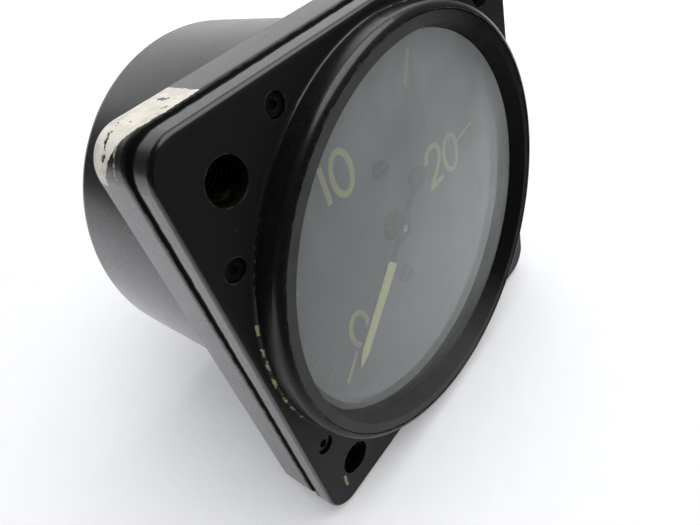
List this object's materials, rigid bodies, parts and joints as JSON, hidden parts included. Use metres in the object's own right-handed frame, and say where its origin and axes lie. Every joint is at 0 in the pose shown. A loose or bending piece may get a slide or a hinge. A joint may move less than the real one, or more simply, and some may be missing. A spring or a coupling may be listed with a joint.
{
  "type": "pressure indicator",
  "caption": "Square-flanged panel pressure gauge with a raised round bezel, black dial with a pointer, round case behind and a threaded pressure port at the rear.",
  "frame": {"origin": "centre of the four panel-screw holes, on the front face of the flange", "axes": "+Z towards the top of the dial, -Y out of the dial towards the viewer, +X to the right of the dial"},
  "size_m": [0.0604, 0.0623, 0.0604],
  "materials": {
    "case_black": "gloss black moulded phenolic",
    "bezel_black": "gloss black moulded phenolic",
    "ring_grey": "matt dark grey paint",
    "gasket_rubber": "matt",
    "insert_brass": "dull cadmium-like plating",
    "screw_black": "black oxide",
    "window_glass": "polished",
    "dial_black": "matt black with cream markings",
    "spacer_black": "matt",
    "pointer_paint": "black paint with a pale luminous blade",
    "movement_brass": "brushed",
    "arbor_steel": "polished",
    "spring_bronze": "satin",
    "socket_brass": "machined",
    "steel_plated": "zinc plated",
    "dial_screw_black": "black oxide"
  },
  "bodies": {
    "housing": {"rear_case": "case_black", "bezel": "bezel_black", "flange_gasket": "gasket_rubber", "mounting_inserts": "insert_brass", "case_screws": "screw_black", "glass": "window_glass", "glass_gasket": "gasket_rubber", "glass_retaining_ring": "ring_grey", "dial_plate": "dial_black", "dial_spacer_ring": "spacer_black", "dial_posts": "movement_brass", "dial_screws": "dial_screw_black", "hairspring": "spring_bronze", "hairspring_stud": "movement_brass", "bourdon_tube": "spring_bronze", "pressure_socket": "socket_brass", "stem_seal": "gasket_rubber", "stem_washer": "steel_plated", "stem_nut": "socket_brass", "movement_front_plate": "movement_brass", "movement_back_plate": "movement_brass", "movement_posts": "movement_brass", "plate_screws": "steel_plated", "movement_screws": "steel_plated"},
    "pointer_train": {"pointer": "pointer_paint", "pointer_hub": "movement_brass", "pointer_cap": "dial_screw_black", "pinion_arbor": "arbor_steel", "pinion_gear": "movement_brass", "hairspring_collet": "movement_brass"},
    "sector": {"sector_gear": "movement_brass", "sector_arbor": "arbor_steel", "sector_pin": "arbor_steel"},
    "tip": {"tube_tip": "socket_brass", "tip_pin": "arbor_steel"},
    "link_bar": {"link": "arbor_steel"}
  },
  "joints": [
    {"name": "sector_pivot", "type": "hinge", "parent": "housing", "child": "sector", "pos_m": [0, 0.0117, -0.0111], "axis": [0, 1, 0], "range_deg": [-41.4, 0], "stiffness_Nm_per_rad": 0.002},
    {"name": "pointer_spin", "type": "hinge", "parent": "housing", "child": "pointer_train", "pos_m": [0, 0.00335, 0], "axis": [0, 1, 0], "range_deg": [0, 265], "deforming": ["hairspring"]},
    {"name": "tip_flexure", "type": "hinge", "parent": "housing", "child": "tip", "pos_m": [-0.0029, 0.0138, 0.006], "axis": [0, 1, 0], "range_deg": [-9.6, 0], "deforming": ["bourdon_tube"]},
    {"name": "link_pivot", "type": "hinge", "parent": "tip", "child": "link_bar", "pos_m": [0.012, 0.01275, 0], "axis": [0, 1, 0], "range_deg": [0, 7.4]}
  ],
  "couplings": [
    {"joint": "pointer_spin", "follows": "sector_pivot", "ratio": -6.4},
    {"joint": "tip_flexure", "follows": "sector_pivot", "ratio": 0.22954},
    {"joint": "link_pivot", "follows": "sector_pivot", "ratio": -0.17734}
  ]
}
